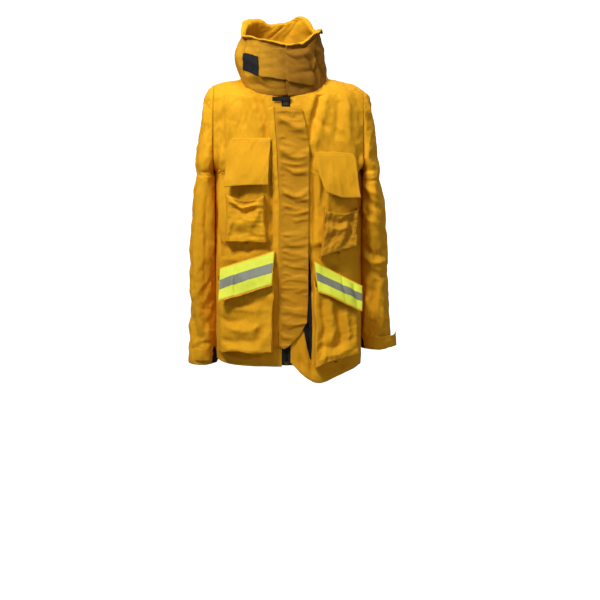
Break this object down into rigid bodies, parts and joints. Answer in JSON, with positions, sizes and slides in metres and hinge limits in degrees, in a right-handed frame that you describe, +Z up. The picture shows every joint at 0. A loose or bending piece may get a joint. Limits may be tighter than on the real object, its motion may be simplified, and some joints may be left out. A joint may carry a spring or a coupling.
{
  "type": "turnout coat",
  "caption": "Heavy protective work coat: stand collar with a throat strap, zip under a storm flap, chest and cargo pockets with flaps, slanted reflective trim.",
  "frame": {"origin": "middle of the wearer's neck at the level of the collar seam's front", "axes": "+Z up, the front faces -Y, +X is the wearer's left"},
  "size_m": [0.5839, 0.3433, 0.9616],
  "materials": {
    "aramid_shell": "matt twill",
    "aramid_facing": "matt twill",
    "hook_and_loop": "matt pile",
    "lime_tape": "fluorescent woven tape",
    "silver_stripe": "satin retroreflective",
    "zipper_tape": "matt",
    "zipper_metal": "satin",
    "eyelet_metal": "matt black",
    "label_cloth": "matt"
  },
  "bodies": {
    "coat": {"right_front_panel": "aramid_shell", "left_front_panel": "aramid_shell", "back_panel": "aramid_shell", "right_front_facing": "aramid_facing", "left_front_facing": "aramid_facing", "hem_facing": "aramid_facing", "collar_shell": "aramid_shell", "collar_lining": "aramid_facing", "collar_loop_patch": "hook_and_loop", "hanger_loop": "aramid_shell", "neck_label": "label_cloth", "zipper_tape_right": "zipper_tape", "zipper_tape_left": "zipper_tape", "zipper_teeth_right": "zipper_metal", "zipper_teeth_left": "zipper_metal", "zipper_top_stops": "zipper_metal", "zipper_bottom_box": "zipper_metal", "storm_loop_strip": "hook_and_loop", "throat_loop_patch": "hook_and_loop", "right_chest_pocket": "aramid_shell", "left_chest_pocket": "aramid_shell", "right_cargo_pocket": "aramid_shell", "left_cargo_pocket": "aramid_shell", "pocket_drain_eyelets": "eyelet_metal", "chest_pocket_loop_patches": "hook_and_loop", "cargo_pocket_loop_patches": "hook_and_loop", "back_trim_tape": "lime_tape", "back_trim_stripe": "silver_stripe"},
    "storm_flap_body": {"storm_flap": "aramid_shell", "storm_flap_hook_strip": "hook_and_loop"},
    "collar_strap_body": {"collar_strap": "aramid_shell", "collar_strap_hook_patch": "hook_and_loop"},
    "right_chest_flap_body": {"right_chest_flap": "aramid_shell", "right_chest_flap_hooks": "hook_and_loop"},
    "left_chest_flap_body": {"left_chest_flap": "aramid_shell", "left_chest_flap_hooks": "hook_and_loop"},
    "right_cargo_flap_body": {"right_cargo_flap": "aramid_shell", "right_cargo_flap_hooks": "hook_and_loop", "right_cargo_trim_tape": "lime_tape", "right_cargo_trim_stripe": "silver_stripe"},
    "left_cargo_flap_body": {"left_cargo_flap": "aramid_shell", "left_cargo_flap_hooks": "hook_and_loop", "left_cargo_trim_tape": "lime_tape", "left_cargo_trim_stripe": "silver_stripe"},
    "right_sleeve_body": {"right_sleeve": "aramid_shell", "right_cuff_facing": "aramid_facing"},
    "left_sleeve_body": {"left_sleeve": "aramid_shell", "left_cuff_facing": "aramid_facing"},
    "right_cuff_tab_body": {"right_cuff_tab": "aramid_shell"},
    "left_cuff_tab_body": {"left_cuff_tab": "aramid_shell"},
    "zipper_slider_body": {"zipper_slider": "zipper_metal"},
    "zipper_pull_body": {"zipper_pull": "zipper_metal", "zipper_pull_grip": "hook_and_loop"}
  },
  "joints": [
    {"name": "storm_flap_hinge", "type": "hinge", "parent": "coat", "child": "storm_flap_body", "pos_m": [-0.0372, -0.12285, -0.054], "axis": [0.0159, -0.0489, -0.9987], "range_deg": [0, 80]},
    {"name": "collar_strap_hinge", "type": "hinge", "parent": "coat", "child": "collar_strap_body", "pos_m": [0.0703, -0.0908, 0.015], "axis": [0, 0.1283, 0.9917], "range_deg": [0, 95]},
    {"name": "right_chest_flap_hinge", "type": "hinge", "parent": "coat", "child": "right_chest_flap_body", "pos_m": [-0.148, -0.10644, -0.128], "axis": [-0.9751, 0.221, -0.0189], "range_deg": [0, 112]},
    {"name": "left_chest_flap_hinge", "type": "hinge", "parent": "coat", "child": "left_chest_flap_body", "pos_m": [0.067, -0.13156, -0.163], "axis": [-0.9582, -0.2808, 0.0548], "range_deg": [0, 112]},
    {"name": "right_cargo_flap_hinge", "type": "hinge", "parent": "coat", "child": "right_cargo_flap_body", "pos_m": [-0.184, -0.13258, -0.472], "axis": [-0.9474, 0.0726, -0.3116], "range_deg": [0, 110]},
    {"name": "left_cargo_flap_hinge", "type": "hinge", "parent": "coat", "child": "left_cargo_flap_body", "pos_m": [0.066, -0.143, -0.451], "axis": [-0.889, 0.0034, 0.458], "range_deg": [0, 110]},
    {"name": "right_sleeve_swing", "type": "hinge", "parent": "coat", "child": "right_sleeve_body", "pos_m": [-0.204, 0.005, -0.11], "axis": [-1, 0, 0], "range_deg": [-25, 10]},
    {"name": "left_sleeve_swing", "type": "hinge", "parent": "coat", "child": "left_sleeve_body", "pos_m": [0.204, 0.005, -0.122], "axis": [-1, 0, 0], "range_deg": [-25, 10]},
    {"name": "right_cuff_tab_hinge", "type": "hinge", "parent": "right_sleeve_body", "child": "right_cuff_tab_body", "pos_m": [-0.262, -0.056, -0.723], "axis": [0, 0, -1], "range_deg": [0, 100]},
    {"name": "left_cuff_tab_hinge", "type": "hinge", "parent": "left_sleeve_body", "child": "left_cuff_tab_body", "pos_m": [0.218, -0.05, -0.689], "axis": [0, 0, -1], "range_deg": [0, 75]},
    {"name": "zipper_slide", "type": "slide", "parent": "coat", "child": "zipper_slider_body", "axis": [0, -0.0489, -0.9988], "range_m": [0, 0.1]},
    {"name": "zipper_pull_hinge", "type": "hinge", "parent": "zipper_slider_body", "child": "zipper_pull_body", "pos_m": [-0.006, -0.11801, -0.03499], "axis": [-1, 0, 0], "range_deg": [0, 100]}
  ]
}
